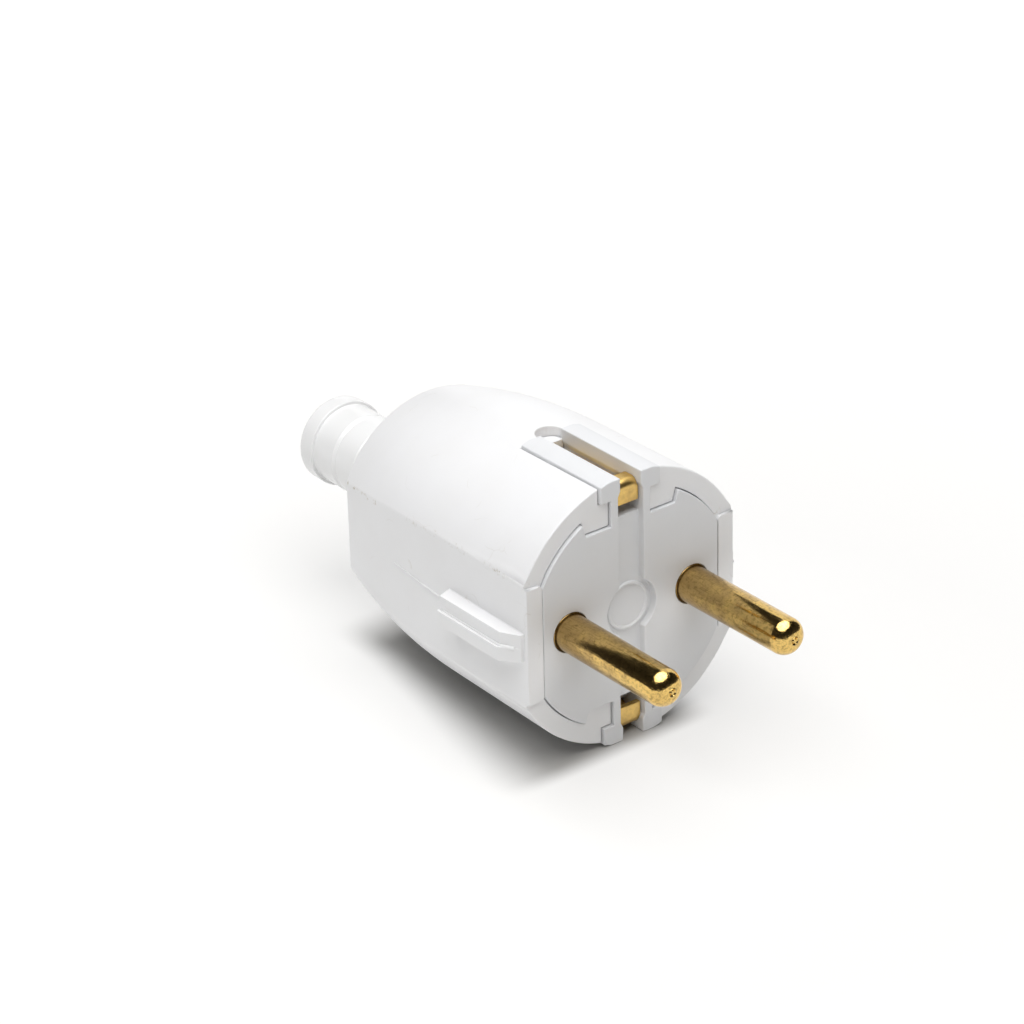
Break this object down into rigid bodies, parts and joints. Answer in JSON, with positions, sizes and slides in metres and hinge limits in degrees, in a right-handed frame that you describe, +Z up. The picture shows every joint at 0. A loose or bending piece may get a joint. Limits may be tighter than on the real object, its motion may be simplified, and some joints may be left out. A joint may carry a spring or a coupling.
{
  "type": "rewirable type f plug",
  "caption": "White rewirable mains plug with round brass pins, sprung earth contacts in top and bottom slots, flat sides with guide rails and a ringed cord sleeve.",
  "frame": {"origin": "centre of the face that meets the socket, midway between the two pins", "axes": "the pins point along -Y and the cord leaves along +Y, +Z is up towards the upper earth contact and +X is right seen from the pins' tips"},
  "size_m": [0.037, 0.0812, 0.0362],
  "materials": {
    "shell": "moulded white ABS, satin",
    "carrier": "moulded bluish white thermoplastic",
    "sleeve": "moulded soft white PVC, glossy",
    "brass": "turned and bent brass, tarnished in places",
    "steel": "zinc plated steel"
  },
  "bodies": {
    "root": {"housing": "shell", "contact_carrier": "carrier", "bend_sleeve": "sleeve", "left_pin": "brass", "right_pin": "brass", "terminal_screws": "steel", "earth_strap": "brass", "earth_washer": "steel", "earth_screw": "steel", "cord_clamp": "carrier", "cord_clamp_screws": "steel"}
  },
  "joints": []
}
